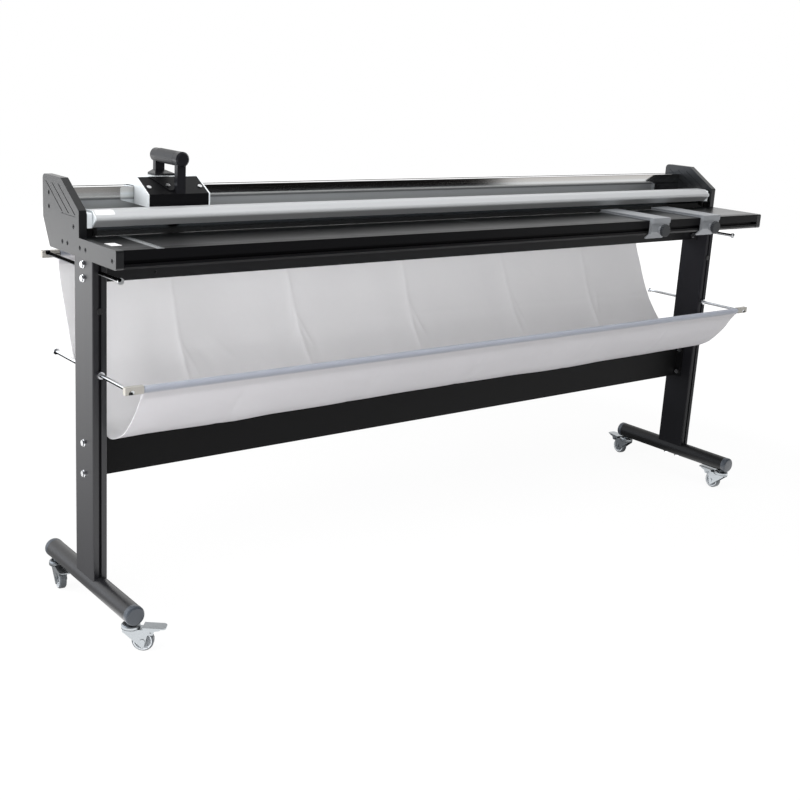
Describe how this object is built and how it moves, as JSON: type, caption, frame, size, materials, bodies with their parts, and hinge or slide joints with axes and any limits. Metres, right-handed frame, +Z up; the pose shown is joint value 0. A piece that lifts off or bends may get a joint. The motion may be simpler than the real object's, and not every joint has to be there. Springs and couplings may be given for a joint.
{
  "type": "large-format paper trimmer",
  "caption": "Floor-standing rotary paper trimmer: sliding round-blade head on a long rail, sprung clamp bar, paper stops, hanging catcher and castors.",
  "frame": {"origin": "on the floor, under the middle of the machine and midway between the legs' front and rear faces", "axes": "+X along the cutting line to the operator's right, +Y away from the operator to the rear, +Z up"},
  "size_m": [2.2, 0.543, 1.083],
  "materials": {
    "end_plate_black": "moulded, fine grain",
    "frame_black": "black powder coat, semi-matte",
    "table_black": "black coat, satin",
    "cap_plastic": "blue-grey plastic",
    "black_plastic": "satin",
    "gloss_black": "glossy",
    "grip_grey": "matte sleeve",
    "polished_aluminium": "polished",
    "satin_aluminium": "satin anodised",
    "grey_anodised": "grey anodised, matte",
    "silver_paint": "silver, fine texture",
    "zinc": "zinc plated",
    "steel": "ground",
    "black_oxide": "blackened steel",
    "clip_plastic": "light grey",
    "sheet_white": "coated cloth with soft creases",
    "clear_plastic": "clear",
    "shoe_plastic": "natural slide plastic",
    "wheel_plastic": "light grey hub with a dark grey tread"
  },
  "bodies": {
    "stand": {"end_plate_left": "end_plate_black", "end_plate_right": "end_plate_black", "leg_left": "frame_black", "leg_right": "frame_black", "foot_tube_left": "frame_black", "foot_tube_right": "frame_black", "foot_caps": "cap_plastic", "upper_beam": "frame_black", "lower_beam": "frame_black", "table_top": "table_black", "front_profile": "table_black", "cutting_bed": "table_black", "counter_blade": "steel", "ruler_strip": "satin_aluminium", "guide_rail": "polished_aluminium", "clamp_guides": "silver_paint", "clamp_springs": "steel", "catcher_rods": "zinc", "rod_collars": "zinc", "rod_clips": "clip_plastic", "front_bar": "satin_aluminium", "rear_bar": "black_oxide", "catcher_sheet": "sheet_white", "leg_bolts": "zinc", "plate_screws": "black_oxide", "leg_plugs": "black_plastic", "castor_stems": "zinc"},
    "cutter_head": {"head_plate_left": "silver_paint", "head_plate_right": "silver_paint", "head_cover": "frame_black", "head_carriage": "silver_paint", "glide_pads": "shoe_plastic", "blade_axle": "steel", "blade_spring": "steel", "handle_bracket": "gloss_black", "handle_grip": "grip_grey", "cover_screws": "zinc"},
    "blade": {"rotary_blade": "steel", "blade_hub": "black_plastic"},
    "clamp": {"clamp_tube": "satin_aluminium", "clamp_end_caps": "satin_aluminium", "clear_strip": "clear_plastic"},
    "stop_1": {"stop_arm_1": "grey_anodised", "stop_bracket_1": "grey_anodised"},
    "stop_1_knob": {"stop_knob_1": "black_plastic"},
    "stop_2": {"stop_arm_2": "grey_anodised", "stop_bracket_2": "grey_anodised"},
    "stop_2_knob": {"stop_knob_2": "black_plastic"},
    "castor_front_left_fork": {"castor_fork_front_left": "zinc"},
    "castor_front_left_wheel": {"castor_wheel_front_left": "wheel_plastic"},
    "castor_front_left_brake": {"castor_brake_front_left": "zinc"},
    "castor_rear_left_fork": {"castor_fork_rear_left": "zinc"},
    "castor_rear_left_wheel": {"castor_wheel_rear_left": "wheel_plastic"},
    "castor_rear_left_brake": {"castor_brake_rear_left": "zinc"},
    "castor_front_right_fork": {"castor_fork_front_right": "zinc"},
    "castor_front_right_wheel": {"castor_wheel_front_right": "wheel_plastic"},
    "castor_front_right_brake": {"castor_brake_front_right": "zinc"},
    "castor_rear_right_fork": {"castor_fork_rear_right": "zinc"},
    "castor_rear_right_wheel": {"castor_wheel_rear_right": "wheel_plastic"},
    "castor_rear_right_brake": {"castor_brake_rear_right": "zinc"}
  },
  "joints": [
    {"name": "head_slide", "type": "slide", "parent": "stand", "child": "cutter_head", "axis": [1, 0, 0], "range_m": [-0.175, 1.812]},
    {"name": "blade_spin", "type": "hinge", "parent": "cutter_head", "child": "blade", "pos_m": [-0.819, 0.0788, 0.9335], "axis": [0, 1, 0], "continuous": true},
    {"name": "clamp_lift", "type": "slide", "parent": "stand", "child": "clamp", "axis": [0, 0, 1], "range_m": [0, 0.008], "stiffness_N_per_m": 4000, "springref_m": -0.02, "deforming": ["clamp_springs"]},
    {"name": "stop_1_slide", "type": "slide", "parent": "stand", "child": "stop_1", "axis": [1, 0, 0], "range_m": [-1.647, 0.149]},
    {"name": "stop_2_slide", "type": "slide", "parent": "stand", "child": "stop_2", "axis": [1, 0, 0], "range_m": [-0.149, 0.202]},
    {"name": "stop_1_knob_turn", "type": "hinge", "parent": "stop_1", "child": "stop_1_knob", "pos_m": [0.607, -0.22, 0.879], "axis": [0, 1, 0], "range_deg": [-360, 0]},
    {"name": "stop_2_knob_turn", "type": "hinge", "parent": "stop_2", "child": "stop_2_knob", "pos_m": [0.838, -0.22, 0.879], "axis": [0, 1, 0], "range_deg": [-360, 0]},
    {"name": "castor_front_left_swivel", "type": "hinge", "parent": "stand", "child": "castor_front_left_fork", "pos_m": [-1.064, -0.205, 0.06], "axis": [0, 0, 1], "continuous": true},
    {"name": "castor_front_left_roll", "type": "hinge", "parent": "castor_front_left_fork", "child": "castor_front_left_wheel", "pos_m": [-1.04194, -0.22224, 0.025], "axis": [0.6157, 0.788, 0], "continuous": true},
    {"name": "castor_front_left_pedal", "type": "hinge", "parent": "castor_front_left_fork", "child": "castor_front_left_brake", "pos_m": [-1.02736, -0.23363, 0.047], "axis": [0.6157, 0.788, 0], "range_deg": [0, 12]},
    {"name": "castor_rear_left_swivel", "type": "hinge", "parent": "stand", "child": "castor_rear_left_fork", "pos_m": [-1.064, 0.198, 0.06], "axis": [0, 0, 1], "continuous": true},
    {"name": "castor_rear_left_roll", "type": "hinge", "parent": "castor_rear_left_fork", "child": "castor_rear_left_wheel", "pos_m": [-1.06838, 0.17034, 0.025], "axis": [0.9877, -0.1564, 0], "continuous": true},
    {"name": "castor_rear_left_pedal", "type": "hinge", "parent": "castor_rear_left_fork", "child": "castor_rear_left_brake", "pos_m": [-1.07127, 0.15207, 0.047], "axis": [0.9877, -0.1564, 0], "range_deg": [0, 12]},
    {"name": "castor_front_right_swivel", "type": "hinge", "parent": "stand", "child": "castor_front_right_fork", "pos_m": [1.064, -0.205, 0.06], "axis": [0, 0, 1], "continuous": true},
    {"name": "castor_front_right_roll", "type": "hinge", "parent": "castor_front_right_fork", "child": "castor_front_right_wheel", "pos_m": [1.06498, -0.17702, 0.025], "axis": [-0.9994, 0.0349, 0], "continuous": true},
    {"name": "castor_front_right_pedal", "type": "hinge", "parent": "castor_front_right_fork", "child": "castor_front_right_brake", "pos_m": [1.06562, -0.15853, 0.047], "axis": [-0.9994, 0.0349, 0], "range_deg": [0, 12]},
    {"name": "castor_rear_right_swivel", "type": "hinge", "parent": "stand", "child": "castor_rear_right_fork", "pos_m": [1.064, 0.198, 0.06], "axis": [0, 0, 1], "continuous": true},
    {"name": "castor_rear_right_roll", "type": "hinge", "parent": "castor_rear_right_fork", "child": "castor_rear_right_wheel", "pos_m": [1.06741, 0.22579, 0.025], "axis": [-0.9925, 0.1219, 0], "continuous": true},
    {"name": "castor_rear_right_pedal", "type": "hinge", "parent": "castor_rear_right_fork", "child": "castor_rear_right_brake", "pos_m": [1.06967, 0.24415, 0.047], "axis": [-0.9925, 0.1219, 0], "range_deg": [0, 12]}
  ],
  "couplings": [
    {"joint": "blade_spin", "follows": "head_slide", "rad_per_m": 33.333}
  ]
}
